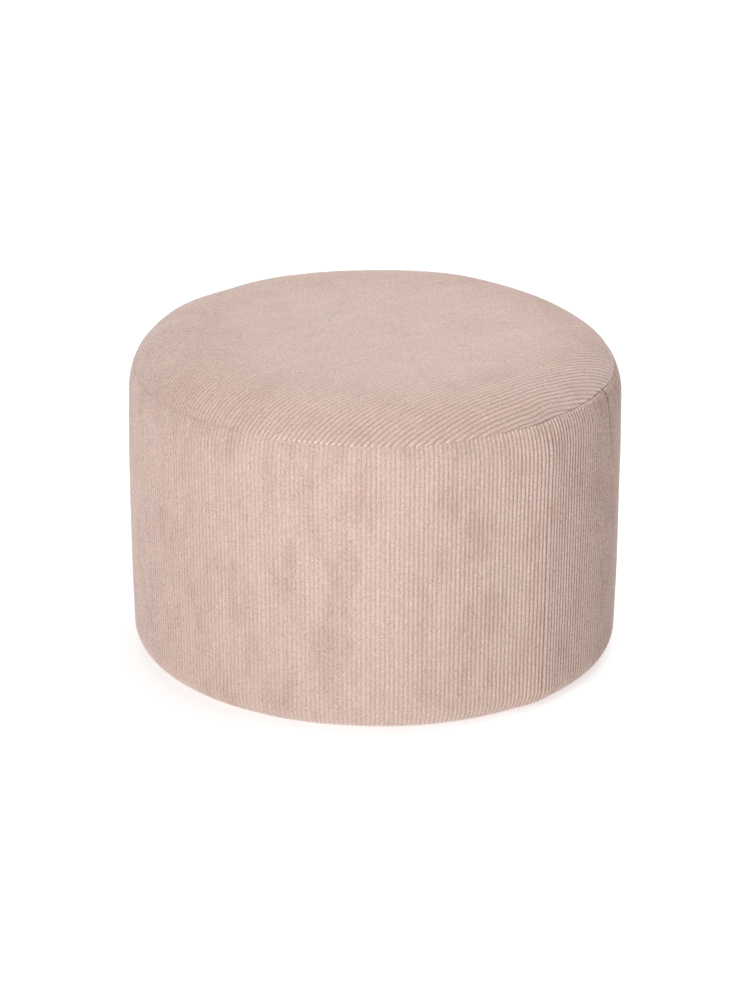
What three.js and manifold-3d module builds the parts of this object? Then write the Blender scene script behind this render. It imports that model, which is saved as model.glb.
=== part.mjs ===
// A round corduroy pouf: a crowned top panel, an upright band and a base panel, each modelled as
// the filled form that its cloth covers. Millimetres, +Z up, the front of the pouf faces -Y, and
// the origin lies on the floor under the middle. The cords of the cloth are called wales.
import * as THREE from "three";
import { mergeGeometries, mergeVertices } from "three/addons/utils/BufferGeometryUtils.js";
import Module from "manifold-3d";

// Overall form
const HEIGHT = 335.5;
const WALL_RADIUS = 250;
const BASE_RADIUS = 248;
const SHOULDER_RADIUS = 251.5;
const SHOULDER_HEIGHT = 271;
const BASE_ROUNDING = 25;
const LEFT_EXTRA_ROUNDING = 5;

// How the stuffed form departs from a true round: it leans a little to the front left, its
// shoulder is slightly oval, and the crown's flat middle lies nearer to the right-hand side
const LEAN_X = -1.3;
const LEAN_Y = -2.4;
const SHOULDER_OVAL = 2.3;
const FLAT_RADIUS = 99;
const FLAT_SKEW = 9;
const CORNER_POWER = 0.41;
const CORNER_SKEW = 0.033;
const RISE_POWER = 0.81;

// Soft dents and swellings of the back of the crown, by azimuth from +X
const CROWN_LUMPS = [
  { azimuth: 28, spread: 13, lift: -1.2 },
  { azimuth: 68, spread: 13, lift: 2.0 },
  { azimuth: 134, spread: 10, lift: -1.5 },
  { azimuth: 156, spread: 8, lift: 1.5 },
];

// The seam between top panel and band lies in a slightly tilted plane and is pulled in
const SEAM_HEIGHT = 306;
const SEAM_RISE_X = 0.0098;
const SEAM_RISE_Y = 0.0122;
const SEAM_RADIUS = 244;
const SEAM_PINCH = 1.5;

// The band is closed by one upright seam at the front right, which makes a soft corner
const CLOSING_AZIMUTH = -45.3;
const CLOSING_RIDGE = 2.5;
const CLOSING_SPREAD = 4.5;
const CLOSING_DEPTH = 1.5;

// The cloth
const BAND_WALES = 338;
const TOP_WALES = 108;
const TOP_WALE_AZIMUTH = 42.4;
const WALE_RELIEF = 0.9;
const TOP_COLOUR = "#d4bdb3";
const BAND_COLOUR = "#dabfb4";

// The base panel is what rests on the floor, and the band stops just short of it
const BASE_PANEL_RADIUS = 214.7;
const BASE_PANEL_THICKNESS = 2.6;
const BASE_PANEL_SIDES = 56;
const BAND_FLOOR_CLEARANCE = 0.5;
const GAP = 0.3;

// Rings of the band: level 0 to 1 is the rounding at the floor, 1 to 2 the wall, and 2 to 3 the
// shoulder up to the seam. Relief is the share of the wales' full height.
const BAND_RINGS = [
  { level: 0, relief: 0 },
  { level: 0.34, relief: 1 },
  { level: 0.67, relief: 1 },
  { level: 1, relief: 1 },
  { level: 2, relief: 1 },
  { level: 2.5, relief: 1 },
  { level: 2.86, relief: 1 },
  { level: 3, relief: 0 },
];

// Places along each wale of the top panel, as shares of half its length, closest at the shoulder
const TOP_STEPS = [-1, -0.975, -0.93, -0.86, -0.76, -0.62, 0, 0.62, 0.76, 0.86, 0.93, 0.975, 1];

// The crown's outline runs flat for this share of its parameter and then turns down, faster
// towards the seam
const FLAT_SHARE = 0.35;
const TURN_POWER = 2.4;
const OUTLINE_DIVISIONS = 800;

// Step for the slope of a surface, in its own parameters, and the distance at which two corners
// of a mesh count as one
const SLOPE_STEP = 0.01;
const MERGE_DISTANCE = 0.001;

const QUARTER = Math.PI / 2;

const radians = THREE.MathUtils.degToRad;

function bellOf(azimuth, centre, spread) {
  const away = THREE.MathUtils.euclideanModulo(azimuth - radians(centre) + Math.PI, 2 * Math.PI);
  return Math.exp(-(((away - Math.PI) / radians(spread)) ** 2));
}

function shoulderRadius(azimuth) {
  return SHOULDER_RADIUS - SHOULDER_OVAL * Math.cos(2 * azimuth);
}

// A point at a radius, azimuth and height, with the whole form's lean
function placed(radius, azimuth, height) {
  const lean = height / SHOULDER_HEIGHT - 0.5;
  return new THREE.Vector3(
    radius * Math.cos(azimuth) + LEAN_X * lean,
    radius * Math.sin(azimuth) + LEAN_Y * lean,
    height,
  );
}

// The rounded shoulder: turn is 0 at the top of the wall and a quarter turn at the crown's flat
function shoulder(turn, azimuth) {
  const right = Math.cos(azimuth);
  const flat = FLAT_RADIUS + FLAT_SKEW * right;
  const power = CORNER_POWER + CORNER_SKEW * right;
  return {
    radius: flat + (shoulderRadius(azimuth) - flat) * Math.max(Math.cos(turn), 0) ** power,
    height: SHOULDER_HEIGHT + (HEIGHT - SHOULDER_HEIGHT) * Math.sin(turn) ** RISE_POWER,
  };
}

function seamPlaneHeight(x, y) {
  return SEAM_HEIGHT + SEAM_RISE_X * x + SEAM_RISE_Y * y;
}

function seamTurn(azimuth) {
  const height = seamPlaneHeight(SEAM_RADIUS * Math.cos(azimuth), SEAM_RADIUS * Math.sin(azimuth));
  const share = (height - SHOULDER_HEIGHT) / (HEIGHT - SHOULDER_HEIGHT);
  return Math.asin(share ** (1 / RISE_POWER));
}

// The seam's own point, pulled in and exactly in the seam's plane, lowered by a gap
function seamPoint(azimuth, gap) {
  const { radius } = shoulder(seamTurn(azimuth), azimuth);
  const point = placed(radius - SEAM_PINCH, azimuth, SEAM_HEIGHT);
  point.z = seamPlaneHeight(point.x, point.y) - gap;
  return point;
}

// The crown from its middle, 0, to the seam, 1
function crownPoint(place, azimuth) {
  if (place < FLAT_SHARE) {
    const flat = FLAT_RADIUS + FLAT_SKEW * Math.cos(azimuth);
    return placed((flat * place) / FLAT_SHARE, azimuth, HEIGHT);
  }
  const share = ((place - FLAT_SHARE) / (1 - FLAT_SHARE)) ** TURN_POWER;
  const { radius, height } = shoulder(QUARTER - (QUARTER - seamTurn(azimuth)) * share, azimuth);
  const lifts = CROWN_LUMPS.map((lump) => lump.lift * bellOf(azimuth, lump.azimuth, lump.spread));
  const lift = lifts.reduce((sum, one) => sum + one, 0) * Math.sin(Math.PI * share) ** 2;
  return placed(radius, azimuth, height + lift);
}

// The outline of the crown at the front, whose arc length says where a point of the flat round
// of cloth comes to lie
class CrownOutline extends THREE.Curve {
  getPoint(place) {
    return crownPoint(place, -QUARTER);
  }
}
const crownOutline = new CrownOutline();
crownOutline.arcLengthDivisions = OUTLINE_DIVISIONS;

// The band from the floor, level 0, to the seam, level 3
function bandPoint(level, azimuth) {
  const ridge = CLOSING_RIDGE * bellOf(azimuth, CLOSING_AZIMUTH, CLOSING_SPREAD);
  const left = ((1 - Math.cos(azimuth)) / 2) ** 2;
  const rounding = BASE_ROUNDING + LEFT_EXTRA_ROUNDING * left;
  if (level < 1) {
    const turn = level * QUARTER;
    const radius = BASE_RADIUS + ridge - rounding * (1 - Math.sin(turn));
    return placed(radius, azimuth, rounding * (1 - Math.cos(turn)) + BAND_FLOOR_CLEARANCE);
  }
  if (level < 2) {
    const rise = level - 1;
    const base = rounding + BAND_FLOOR_CLEARANCE;
    const radius =
      BASE_RADIUS * (1 - rise) * (1 - 2 * rise) +
      WALL_RADIUS * 4 * rise * (1 - rise) +
      shoulderRadius(azimuth) * rise * (2 * rise - 1);
    return placed(radius + ridge, azimuth, base + (SHOULDER_HEIGHT - base) * rise);
  }
  const { radius, height } = shoulder((level - 2) * seamTurn(azimuth), azimuth);
  return placed(radius + ridge * (3 - level), azimuth, height);
}

// Lifts a point of a surface along its outward normal, found from points a small step away
function raised(surface, a, b, lift) {
  const along = surface(a + SLOPE_STEP, b).sub(surface(a - SLOPE_STEP, b));
  const across = surface(a, b + SLOPE_STEP).sub(surface(a, b - SLOPE_STEP));
  const normal = along.cross(across).normalize();
  return surface(a, b).addScaledVector(normal, lift);
}

// A wale's crest lies half the relief above the cloth's mean, and the groove half below
function waleLift(line) {
  return line % 2 === 0 ? -WALE_RELIEF / 2 : WALE_RELIEF / 2;
}

function clothMesh(name, geometry, colour) {
  const material = new THREE.MeshStandardMaterial({ color: colour, roughness: 0.95, metalness: 0 });
  const mesh = new THREE.Mesh(geometry, material);
  mesh.name = name;
  return mesh;
}

function positionsOnly(geometry) {
  geometry.deleteAttribute("normal");
  geometry.deleteAttribute("uv");
  return geometry;
}

// The top panel: a sheet of grooves and crests laid over the crown, closed below by the flat
// face in the seam's plane
function topPanelGeometry() {
  const lines = 2 * TOP_WALES;
  const steps = TOP_STEPS.length - 1;
  const discRadius = crownOutline.getLength();
  const waleAzimuth = radians(TOP_WALE_AZIMUTH);

  const azimuthOf = (across, along) => Math.atan2(along, across) + waleAzimuth - QUARTER;

  // From the flat round of cloth to the crown: a point keeps its distance from the middle
  const layOver = (across, along) => {
    const share = Math.min(Math.hypot(across, along) / discRadius, 1);
    return crownPoint(crownOutline.getUtoTmapping(share), azimuthOf(across, along));
  };

  const sheet = new THREE.PlaneGeometry(2, 2, lines, steps);
  const position = sheet.getAttribute("position");
  const rim = { near: [], far: [] };
  for (let index = 0; index < position.count; index += 1) {
    const line = index % (lines + 1);
    const step = steps - Math.floor(index / (lines + 1));
    const across = discRadius * ((2 * line) / lines - 1);
    const halfLength = Math.sqrt(Math.max(discRadius ** 2 - across ** 2, 0));
    const along = halfLength * TOP_STEPS[step];
    const onRim = step === 0 || step === steps || halfLength === 0;
    const point = onRim
      ? seamPoint(azimuthOf(across, along), 0)
      : raised(layOver, across, along, waleLift(line));
    position.setXYZ(index, point.x, point.y, point.z);
    if (step === 0) rim.near.push(point);
    if (step === steps) rim.far.push(point);
  }

  const loop = [...rim.near, ...rim.far.reverse().slice(1, -1)];
  const outline = new THREE.Shape(loop.map((point) => new THREE.Vector2(point.x, point.y)));
  const under = new THREE.ShapeGeometry(outline);
  const flat = under.getAttribute("position");
  for (let index = 0; index < flat.count; index += 1) {
    flat.setZ(index, seamPlaneHeight(flat.getX(index), flat.getY(index)));
  }
  under.index.array.reverse();
  return mergeVertices(mergeGeometries([positionsOnly(sheet), positionsOnly(under)]), MERGE_DISTANCE);
}

// The band: a lathe of the rings, closed across the seam's plane above and near the floor below,
// its points moved out to the wales and in at the closing seam
function bandGeometry() {
  const columns = 2 * BAND_WALES;
  const profile = BAND_RINGS.map((ring) => new THREE.Vector2(1, ring.level));
  const lathe = new THREE.LatheGeometry(
    [new THREE.Vector2(0, 0), ...profile, new THREE.Vector2(0, BAND_RINGS.length)],
    columns,
  );
  const rows = BAND_RINGS.length + 2;
  const bandSurface = (azimuth, level) => bandPoint(THREE.MathUtils.clamp(level, 0, 3), azimuth);
  const position = lathe.getAttribute("position");
  for (let index = 0; index < position.count; index += 1) {
    const row = index % rows;
    const column = Math.floor(index / rows) % columns;
    const azimuth = radians(CLOSING_AZIMUTH) + (2 * Math.PI * column) / columns;
    let point;
    if (row === 0) {
      point = new THREE.Vector3(0, 0, BAND_FLOOR_CLEARANCE);
    } else if (row === rows - 1) {
      point = new THREE.Vector3(0, 0, seamPlaneHeight(0, 0) - GAP);
    } else if (row === rows - 2) {
      point = seamPoint(azimuth, GAP);
    } else {
      const { level, relief } = BAND_RINGS[row - 1];
      const lift = column === 0 ? -CLOSING_DEPTH : waleLift(column);
      point = raised(bandSurface, azimuth, level, lift * relief);
      if (level === 0) point.z = BAND_FLOOR_CLEARANCE;
    }
    position.setXYZ(index, point.x, point.y, point.z);
  }
  return mergeVertices(positionsOnly(lathe), MERGE_DISTANCE);
}

function discGeometry(radius, bottom, top) {
  const disc = new THREE.CylinderGeometry(radius, radius, top - bottom, BASE_PANEL_SIDES);
  disc.rotateX(QUARTER);
  disc.translate(0, 0, (top + bottom) / 2);
  return mergeVertices(positionsOnly(disc), MERGE_DISTANCE);
}

const wasm = await Module();
wasm.setup();

function solidOf(geometry) {
  return new wasm.Manifold(
    new wasm.Mesh({
      numProp: 3,
      vertProperties: new Float32Array(geometry.getAttribute("position").array),
      triVerts: new Uint32Array(geometry.index.array),
    }),
  );
}

function geometryOf(solid) {
  const mesh = solid.getMesh();
  const geometry = new THREE.BufferGeometry();
  geometry.setAttribute("position", new THREE.BufferAttribute(mesh.vertProperties, mesh.numProp));
  geometry.setIndex(new THREE.BufferAttribute(mesh.triVerts, 1));
  return geometry;
}

// The band's underside is sunk where the base panel lies
const sunk = discGeometry(BASE_PANEL_RADIUS + GAP, -GAP, BASE_PANEL_THICKNESS + GAP);
const band = geometryOf(solidOf(bandGeometry()).subtract(solidOf(sunk)));

const base = discGeometry(BASE_PANEL_RADIUS, 0, BASE_PANEL_THICKNESS);

const pouf = new THREE.Group();
pouf.add(clothMesh("top_panel", topPanelGeometry(), TOP_COLOUR));
pouf.add(clothMesh("side_band", band, BAND_COLOUR));
pouf.add(clothMesh("base_panel", base, TOP_COLOUR));

export default pouf;
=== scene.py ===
import math
from types import SimpleNamespace

import bmesh
import bpy
import numpy as np
from mathutils import Matrix, Vector, noise


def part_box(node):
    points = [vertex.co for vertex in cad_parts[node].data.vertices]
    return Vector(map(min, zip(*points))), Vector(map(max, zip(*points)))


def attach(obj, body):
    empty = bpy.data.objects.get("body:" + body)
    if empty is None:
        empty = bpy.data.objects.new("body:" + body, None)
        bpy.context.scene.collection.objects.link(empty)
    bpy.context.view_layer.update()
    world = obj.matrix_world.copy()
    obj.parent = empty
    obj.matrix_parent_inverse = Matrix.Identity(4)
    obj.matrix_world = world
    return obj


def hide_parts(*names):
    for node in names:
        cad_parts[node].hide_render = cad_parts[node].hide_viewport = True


bl_info = {
    "name": "Corduroy Pouf",
    "version": (1, 0, 0),
    "blender": (4, 5, 0),
    "location": "3D View > Sidebar > Pouf",
    "description": "Dresses the solids of a round pouf in corduroy, with its floor, lights and camera",
    "category": "Add Mesh",
}

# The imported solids, their box before anything is added, and the far upper corner of the base panel.
# Sizes are in metres, +Z is up, and the front of the pouf faces -Y. A wale is one rib of corduroy.
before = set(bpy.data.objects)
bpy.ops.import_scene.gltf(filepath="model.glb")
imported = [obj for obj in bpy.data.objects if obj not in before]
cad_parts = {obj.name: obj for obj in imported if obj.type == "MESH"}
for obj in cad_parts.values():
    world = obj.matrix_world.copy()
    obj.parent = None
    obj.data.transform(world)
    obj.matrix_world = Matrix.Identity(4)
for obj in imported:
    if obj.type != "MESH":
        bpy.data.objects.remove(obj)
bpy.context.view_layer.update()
BASE_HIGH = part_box("base_panel")[1]

MM = 0.001
FULL_TURN = 2 * math.pi
QUARTER = math.pi / 2
BODY = "root"
WHITE = (1, 1, 1, 1)
BLACK = (0, 0, 0, 1)

# A reach so long that little fades over a whole panel
WHOLE_PANEL = 900 * MM


def at(azimuth, **values):
    """A table row: what the pouf has at an azimuth, in degrees from +X."""
    return {"azimuth": math.radians(azimuth), **values}


def around(azimuth, spread, **values):
    """A table row of what spreads over some degrees on both sides of an azimuth."""
    return at(azimuth, spread=math.radians(spread), **values)


# Swellings and dents of the crown between its flat and the seam
CROWN_LUMPS = (
    around(26, 11, lift=-2.0 * MM),
    around(68, 13, lift=2.0 * MM),
    around(134, 10, lift=-1.5 * MM),
    around(155, 9, lift=1.9 * MM),
    around(167, 6, lift=-1.1 * MM),
    around(179, 9, lift=2.2 * MM),
)

# Where the seam round the top strays from its plane
SEAM_WANDER = (
    around(-118, 28, rise=1.5 * MM),
    around(-62, 9, rise=0.8 * MM),
    around(-43, 4, rise=1.0 * MM),
    around(-27, 4, rise=-0.8 * MM),
    around(-18, 5, rise=-1.6 * MM),
    around(-10, 6, rise=-2.6 * MM),
    around(0, 12, rise=-2.0 * MM),
)

# How deep the seam round the top is drawn in, beyond its usual depth
SEAM_NOTCHES = (
    around(-48.5, 1.6, depth=1.5 * MM),
    around(-28, 26, depth=1.1 * MM),
    around(110, 60, depth=0.7 * MM),
)

# Painted highlights where the ends of the wales catch the light at the seam round the top
TOP_GLINTS = (
    around(-101, 13, strength=1.3, reach=1.5 * MM),
    around(-76, 9, strength=0.9, reach=1.5 * MM),
    around(-20, 20, strength=1.0, reach=3.5 * MM),
)
BAND_GLINTS = (
    around(-56, 9, strength=0.4, reach=1.5 * MM),
    around(-27, 12, strength=0.6, reach=2.5 * MM),
)

# Painted shadow: where the seam round the top shows as a dark line, the shade in its drawn-in valley
SEAM_SHADES = (
    around(-28, 20, shade=0.8, reach=0.5 * MM),
    around(-65, 14, shade=0.35, reach=0.5 * MM),
    around(110, 60, shade=0.4, reach=0.5 * MM),
)

# Where the wales stand higher than elsewhere, out to the reach from the seam round the top
TOP_RELIEFS = (around(-158, 45, gain=0.75, reach=80 * MM),)
BAND_RELIEFS = (
    around(-26, 27, gain=0.85, reach=WHOLE_PANEL),
    around(-20, 18, gain=1.3, reach=40 * MM),
)

# Painted shade in the grooves beyond the usual amount: more where the light rakes across the wales and
# their shade shows strong, less on the front of the band where it falls on them square
TOP_SHADES = (
    around(-60, 45, shade=0.15),
    around(-160, 42, shade=0.55),
)
BAND_SHADES = (
    around(-100, 34, shade=-0.14),
    around(-21, 27, shade=0.85),
    around(-150, 25, shade=0.15),
)

# Painted light and shade: where the pile is made darker, or brighter, than the lamps leave it, out to
# the reach from the seam round the top
TOP_PAINTED_SHADING = (
    around(180, 42, tone=-0.12, reach=60 * MM),
    around(-15, 25, tone=0.045, reach=80 * MM),
)
BAND_PAINTED_SHADING = (
    around(-14, 18, tone=-0.05, reach=WHOLE_PANEL),
    around(-50, 12, tone=0.06, reach=WHOLE_PANEL),
    around(-92, 10, tone=0.03, reach=WHOLE_PANEL),
    around(-140, 25, tone=-0.035, reach=WHOLE_PANEL),
)

# Gathers of the top panel beside the seam. The cloth is pushed out on one side of a fold and in on
# the other, over its width, and sinks by its dip. The fold runs inwards for its reach, and slant is
# how far it goes sideways for each step in.
TOP_GATHERS = (
    at(-46.8, slant=-0.3, width=12 * MM, reach=30 * MM, push=2.3 * MM, dip=0.6 * MM),
    at(-61, slant=0.0, width=20 * MM, reach=25 * MM, push=-1.8 * MM, dip=0.0),
    at(-22, slant=0.1, width=6 * MM, reach=9 * MM, push=0.9 * MM, dip=0.3 * MM),
    at(-103, slant=0.2, width=12 * MM, reach=14 * MM, push=-0.8 * MM, dip=0.2 * MM),
    at(118, slant=0.3, width=9 * MM, reach=16 * MM, push=1.4 * MM, dip=0.5 * MM),
)

# Short creases of the band, which run down from the seam round the top for their reach. Lean is how
# far one goes sideways for each step down.
BAND_CREASES = (
    at(-20.6, lean=0.02, width=2.1 * MM, reach=42 * MM, depth=3.3 * MM),
    at(-8.4, lean=0.5, width=2.5 * MM, reach=24 * MM, depth=1.6 * MM),
    at(-22.6, lean=0.05, width=1.3 * MM, reach=13 * MM, depth=1.0 * MM),
    at(-14.5, lean=0.15, width=2.2 * MM, reach=16 * MM, depth=0.9 * MM),
    at(97, lean=0.05, width=1.8 * MM, reach=20 * MM, depth=0.8 * MM),
)

# What sets the finish of one panel apart from the other's. Patches of crushed pile are stretched
# where their shape is below 1, and patches is their strength. Grain scales the speckle of the fibres.
# The painted groove shade starts this far from the crest, where the middle of the groove is at 0.5.
# Saturation and tone scale the colour: the top's lower tone and higher saturation are painted shade,
# against the whitening that its sheen adds. Sheen is how much the pile whitens.
TOP_FINISH = {
    "patch_shape": (1, 1, 1),
    "patches": 0.35,
    "grain": 1.5,
    "groove_start": 0.33,
    "saturation": 1.04,
    "tone": 0.985,
    "sheen": 0.55,
}
BAND_FINISH = {
    "patch_shape": (1.3, 1.3, 0.6),
    "patches": 0.75,
    "grain": 1.6,
    "groove_start": 0.22,
    "saturation": 1.0,
    "tone": 1.0,
    "sheen": 0.5,
}

# Smooth noises of the cloth, with the size of their features across and along the wales. Across is
# in wales where it is a plain number. The seed sets a noise apart, and strength scales it.
TOP_NOISES = {
    "stray": {"across": 5, "along": 26 * MM, "seed": 3.1, "strength": 1},
    "fine_stray": {"across": 1.3, "along": 11 * MM, "seed": 7.7, "strength": 0.5},
    "relief": {"across": 1.5, "along": 14 * MM, "seed": 11.3, "strength": 0.5},
    "broad_relief": {"across": 34 * MM, "along": 34 * MM, "seed": 2.6, "strength": 1},
    "swell": {"across": 55 * MM, "along": 55 * MM, "seed": 5.2, "strength": 1},
}
BAND_NOISES = {
    "stray": {"across": 40 * MM, "along": 60 * MM, "seed": 1.9, "strength": 1},
    "fine_stray": {"across": 1.3, "along": 12 * MM, "seed": 4.4, "strength": 0.6},
    "slack": {"across": 5, "along": 10 * MM, "seed": 8.8, "strength": 0.7 * MM},
    "relief": {"across": 1.5, "along": 16 * MM, "seed": 6.5, "strength": 0.5},
    "broad_relief": {"across": 30 * MM, "along": 60 * MM, "seed": 9.2, "strength": 1},
    "swell": {"across": 60 * MM, "along": 80 * MM, "seed": 2.3, "strength": 1},
}

# What each corduroy panel reads from the tables above
TOP_TABLES = {
    "noises": TOP_NOISES,
    "reliefs": TOP_RELIEFS,
    "glints": TOP_GLINTS,
    "shades": TOP_SHADES,
    "painted_shading": TOP_PAINTED_SHADING,
}
BAND_TABLES = {
    "noises": BAND_NOISES,
    "reliefs": BAND_RELIEFS,
    "glints": BAND_GLINTS,
    "shades": BAND_SHADES,
    "painted_shading": BAND_PAINTED_SHADING,
}

# How far from a seam or an edge the swell, the gathers, the wales' straying and at the foot also
# their height come to their full size
SWELL_START = 30 * MM
GATHER_START = 4 * MM
TOP_STRAY_START = 2 * MM
CLOSING_STRAY_START = 3 * MM
FOOT_START = 2 * MM

# What share of their height the wales lose at the seam round the top
TOP_END_PRESS = 0.35
BAND_END_PRESS = 0.45

# How sharply the pressed middle of the top ends
MIDDLE_POWER = 6

# The closing seam. The wale right of it is wide: the width comes in over part of a wale, and the next
# few wales are closer together for it. Places in wales are counted to the right from the seam.
WIDE_WALE_START = 0.5
WIDE_WALE_FADE = 8

# At the top of that seam is a patch with its wales pressed flat, at this share of their height. It
# has a middle and a half width in wales, and reaches down the seam.
PATCH_WALE = 1.1
PATCH_WALES = 1.1
PATCH_REACH = 10 * MM
PATCH_HEIGHT = 0.85

# Below its top the seam is strained, and it and the groove after the wide wale are drawn in deeper.
# That groove has a middle and a half width in wales.
STRAIN_BELOW = 50 * MM
STRAIN_SPREAD = 28 * MM
CLOSING_DEPTH = 0.35 * MM
CLOSING_STRAIN = 0.9 * MM
CLOSING_WIDTH = 1.0 * MM
NEXT_GROOVE_WALE = 1
NEXT_GROOVE_WALES = 0.2
NEXT_GROOVE_DEPTH = 0.5 * MM

# Further down, at this height over the floor, the wales on both sides of it are slack
SLACK_WALES = 7
SLACK_HEIGHT = 110 * MM
SLACK_SPREAD = 75 * MM

# Where the turned-in edges of the panels end: at this share of the seam's radius and this deep under
# it, and at the foot this far outside the base panel and over it
TURNED_SHARE = 0.97
TOP_TURNED_DEPTH = 2 * MM
BAND_TURNED_DEPTH = 4 * MM
FOOT_TURNED_GAP = 0.5 * MM
FOOT_TURNED_RISE = 0.7 * MM

# Sides of the base panel, and the rounding of its lower edge
BASE_SEGMENTS = 224
BASE_BEVEL = 2 * MM
BASE_BEVEL_SEGMENTS = 4

# How much brighter or darker a whole wale, the streaks of the fibres and their ends are, and how many
# streaks a wale has across, along in the same unit, and over its depth
WALE_TONE = 0.02
FIBRE_GRAIN = 0.08
SPECKLE_GRAIN = 0.18
FIBRE_STREAKS = (6, 1.2, 1)

# Places across one wale, from its groove at 0 to just before the next groove
WALE_PHASES = (0.0, 0.1, 0.29, 0.5, 0.71, 0.9)

# Rows of the band: the rounding at the floor is level 0 to 1, the wall 1 to 2, the shoulder 2 to 3.
# Crowding above 1 packs the rows towards the end of the stretch.
BAND_STRETCHES = (
    {"start": 0, "end": 1, "rows": 10, "crowding": 1},
    {"start": 1, "end": 2, "rows": 13, "crowding": 1},
    {"start": 2, "end": 3, "rows": 22, "crowding": 1.6},
)

# Rows across the top, packed a little towards the seam at both ends
TOP_ROWS = 146
TOP_CROWDING = 1.35

# How the outline of the crown is stepped: flat up to this share, then turning down ever faster
FLAT_SHARE = 0.35
TURN_POWER = 2.4
OUTLINE_DIVISIONS = 800

# Where the height of the seam's plane is read for each azimuth
SEAM_RADIUS = 244 * MM

WALES_MAP = "wales"

# Steps to a point's close neighbours, for its normal, and the distance at which points are one
SLOPE_STEP = 0.02 * MM
LEVEL_STEP = 1e-4
MERGE_DISTANCE = 1e-6

# The lights. Here azimuth 0 is the front and 90 the right. All face a point half way up the pouf.
SOFTBOXES = (
    {"name": "front", "size": 1.5, "azimuth": -20, "elevation": 20, "distance": 3.0},
    {"name": "overhead", "size": 2.6, "azimuth": 90, "elevation": 75, "distance": 2.4},
    {"name": "back", "size": 3.0, "azimuth": 180, "elevation": 50, "distance": 3.5},
)
LIGHTS_AIM = 170 * MM

# The floor's glow changes between these shares of its reach
GLOW_START = 0.12
GLOW_END = 0.4

# Sides of the floor and of the dome
STAGE_SEGMENTS = 96

# The width of the camera's film, in millimetres, and how far it sees
SENSOR_WIDTH = 36
CLIP_END = 50


def length(name, description, metres):
    """A size that the user can change."""
    return bpy.props.FloatProperty(name=name, description=description, default=metres, unit="LENGTH")


def angle(name, description, degrees):
    """A direction or spread that the user can change."""
    return bpy.props.FloatProperty(
        name=name, description=description, default=math.radians(degrees), subtype="ANGLE"
    )


def share(name, description, value):
    """A plain ratio or power that the user can change."""
    return bpy.props.FloatProperty(name=name, description=description, default=value)


def power(name, description, watts):
    """The power of a light that the user can change."""
    return bpy.props.FloatProperty(name=name, description=description, default=watts, unit="POWER")


def colour(name, description, value):
    """A colour, in linear light, that the user can change."""
    return bpy.props.FloatVectorProperty(
        name=name, description=description, default=value, subtype="COLOR", min=0, max=1
    )


class FormSettings(bpy.types.PropertyGroup):
    """The filled form that the cloth covers."""

    height: length("Height", "Floor to the flat of the crown", 335.5 * MM)
    wall_radius: length("Wall radius", "Half way up the wall", 250 * MM)
    base_radius: length("Base radius", "At the foot of the wall", 248 * MM)
    shoulder_radius: length("Shoulder radius", "At the top of the wall", 251.5 * MM)
    shoulder_height: length("Shoulder height", "Where the wall starts to turn in", 271 * MM)
    base_rise: length("Base rise", "Height of the turn at the floor", 24.5 * MM)
    base_rounding: length("Base rounding", "How far in the turn at the floor goes", 23.2 * MM)
    rounding_skew: length("Rounding skew", "What the turn gains at the right", 1.2 * MM)
    floor_clearance: length("Floor clearance", "The band over the floor", 0.8 * MM)
    lean_x: length("Lean to the side", "Sideways shift from floor to shoulder", -1.8 * MM)
    lean_y: length("Lean to the back", "Backward shift from floor to shoulder", -2.4 * MM)
    oval: length("Oval", "What the shoulder gains front and back", 2.3 * MM)
    flat_radius: length("Flat radius", "The level middle of the crown", 99 * MM)
    flat_skew: length("Flat skew", "Shift of the level middle to the right", 9 * MM)
    corner_power: share("Corner power", "Squareness of the shoulder", 0.41)
    corner_skew: share("Corner skew", "What the right gains in squareness", 0.033)
    rise_power: share("Rise power", "How soon the shoulder rises", 0.81)
    seam_height: length("Seam height", "The seam round the top, in the middle", 306 * MM)
    seam_rise_x: share("Seam rise to the right", "Slope of the seam's plane", 0.0098)
    seam_rise_y: share("Seam rise to the back", "Slope of the seam's plane", 0.0122)
    closing_azimuth: angle("Closing seam", "Where the band's ends meet", -47.9)
    closing_ridge: length("Closing ridge", "How far the cloth stands out there", 2.5 * MM)
    closing_spread: angle("Closing spread", "Half the width of that ridge", 4.5)


class ClothSettings(bpy.types.PropertyGroup):
    """The corduroy and how it is sewn."""

    band_wales: bpy.props.IntProperty(
        name="Band wales", description="Wales round the band", default=338, min=3
    )
    top_wales: bpy.props.IntProperty(
        name="Top wales", description="Wales across the top panel", default=108, min=3
    )
    top_direction: angle("Top direction", "Where the top panel's wales run", 42.4)
    wale_relief: length("Wale relief", "Groove to crest", 1.05 * MM)
    top_roundness: share("Top wale roundness", "Higher is flatter with a steeper side", 3.6)
    band_roundness: share("Band wale roundness", "Higher is flatter with a steeper side", 2.4)
    unequal: share("Unequal relief", "How much the relief changes from place to place", 0.3)
    # How far the grooves take the painted shade colour
    groove_shade: share("Groove shade", "How far the grooves take their darker colour", 0.3)
    middle_wear: share("Middle wear", "How far the wales are pressed out in the middle of the top", 0.87)
    middle_reach: length("Middle reach", "How far out they are pressed", 165 * MM)
    seam_depth: length("Seam depth", "How far the seam round the top is drawn in", 0.45 * MM)
    seam_reach: length("Seam reach", "How far the drawing-in is felt", 1.2 * MM)
    base_seam_depth: length("Base seam depth", "How far the lower edge is drawn in", 1.2 * MM)
    wobble: length("Wobble", "How far a wale strays sideways", 0.35 * MM)
    unevenness: length("Unevenness", "Slow rise and fall of the filling", 0.45 * MM)
    closing_width: share("Closing width", "What the wale beside the closing seam gains", 0.4)


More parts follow.
